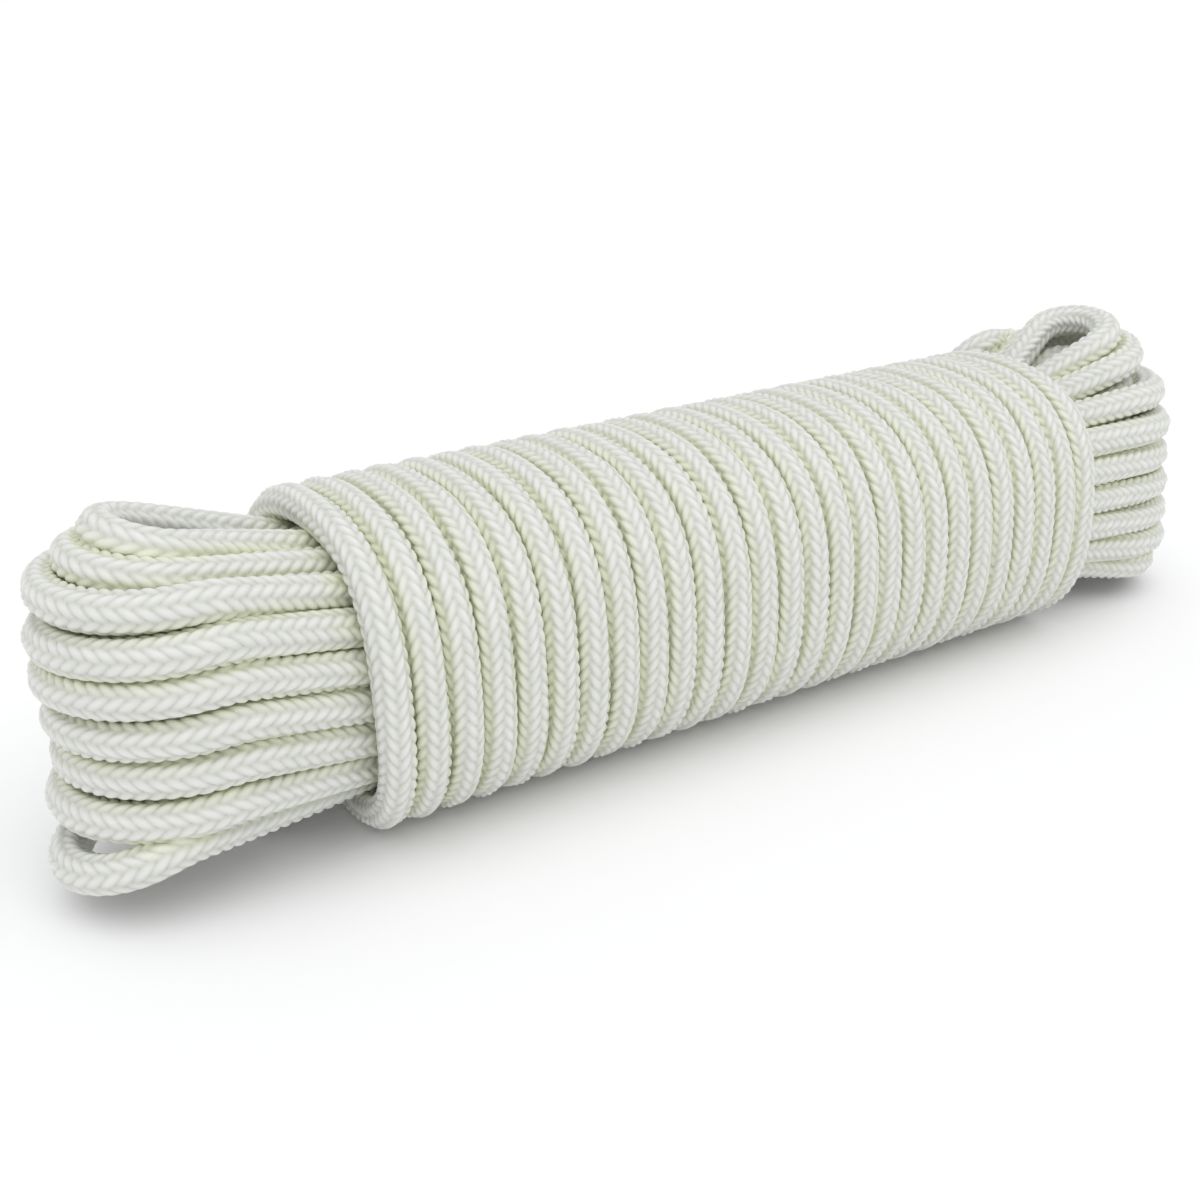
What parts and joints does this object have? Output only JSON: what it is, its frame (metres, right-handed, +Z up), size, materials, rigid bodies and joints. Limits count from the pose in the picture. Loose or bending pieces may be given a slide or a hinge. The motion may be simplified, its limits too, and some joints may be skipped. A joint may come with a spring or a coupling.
{
  "type": "coiled dock line",
  "caption": "Hank of white double-braid dock line: flat loops of rope bound round the middle by tight turns of its own last length.",
  "frame": {"origin": "centre of the bounding box on the surface that the hank lies on", "axes": "+X along the hank, +Y across it, +Z up"},
  "size_m": [0.52, 0.1146, 0.1253],
  "materials": {
    "cover_braid": "satin braided nylon",
    "melted_end": "smooth melted nylon"
  },
  "bodies": {
    "root": {"hank_loop_01": "cover_braid", "hank_loop_02": "cover_braid", "hank_loop_03": "cover_braid", "hank_loop_04": "cover_braid", "hank_loop_05": "cover_braid", "hank_loop_06": "cover_braid", "hank_loop_07": "cover_braid", "hank_loop_08": "cover_braid", "hank_loop_09": "cover_braid", "hank_loop_10": "cover_braid", "hank_loop_11": "cover_braid", "hank_loop_12": "cover_braid", "hank_loop_13": "cover_braid", "hank_loop_14": "cover_braid", "hank_loop_15": "cover_braid", "hank_loop_16": "cover_braid", "hank_loop_17": "cover_braid", "hank_loop_18": "cover_braid", "hank_loop_19": "cover_braid", "wrap_lead_in": "cover_braid", "wrap_turn_01": "cover_braid", "wrap_turn_02": "cover_braid", "wrap_turn_03": "cover_braid", "wrap_turn_04": "cover_braid", "wrap_turn_05": "cover_braid", "wrap_turn_06": "cover_braid", "wrap_turn_07": "cover_braid", "wrap_turn_08": "cover_braid", "wrap_turn_09": "cover_braid", "wrap_turn_10": "cover_braid", "wrap_turn_11": "cover_braid", "wrap_turn_12": "cover_braid", "wrap_turn_13": "cover_braid", "wrap_turn_14": "cover_braid", "wrap_turn_15": "cover_braid", "wrap_turn_16": "cover_braid", "wrap_turn_17": "cover_braid", "wrap_turn_18": "cover_braid", "wrap_turn_19": "cover_braid", "wrap_turn_20": "cover_braid", "wrap_turn_21": "cover_braid", "wrap_turn_22": "cover_braid", "wrap_turn_23": "cover_braid", "wrap_turn_24": "cover_braid", "wrap_turn_25": "cover_braid", "wrap_turn_26": "cover_braid", "wrap_turn_27": "cover_braid", "wrap_tail": "cover_braid", "melted_end_inner": "melted_end", "melted_end_outer": "melted_end"}
  },
  "joints": []
}
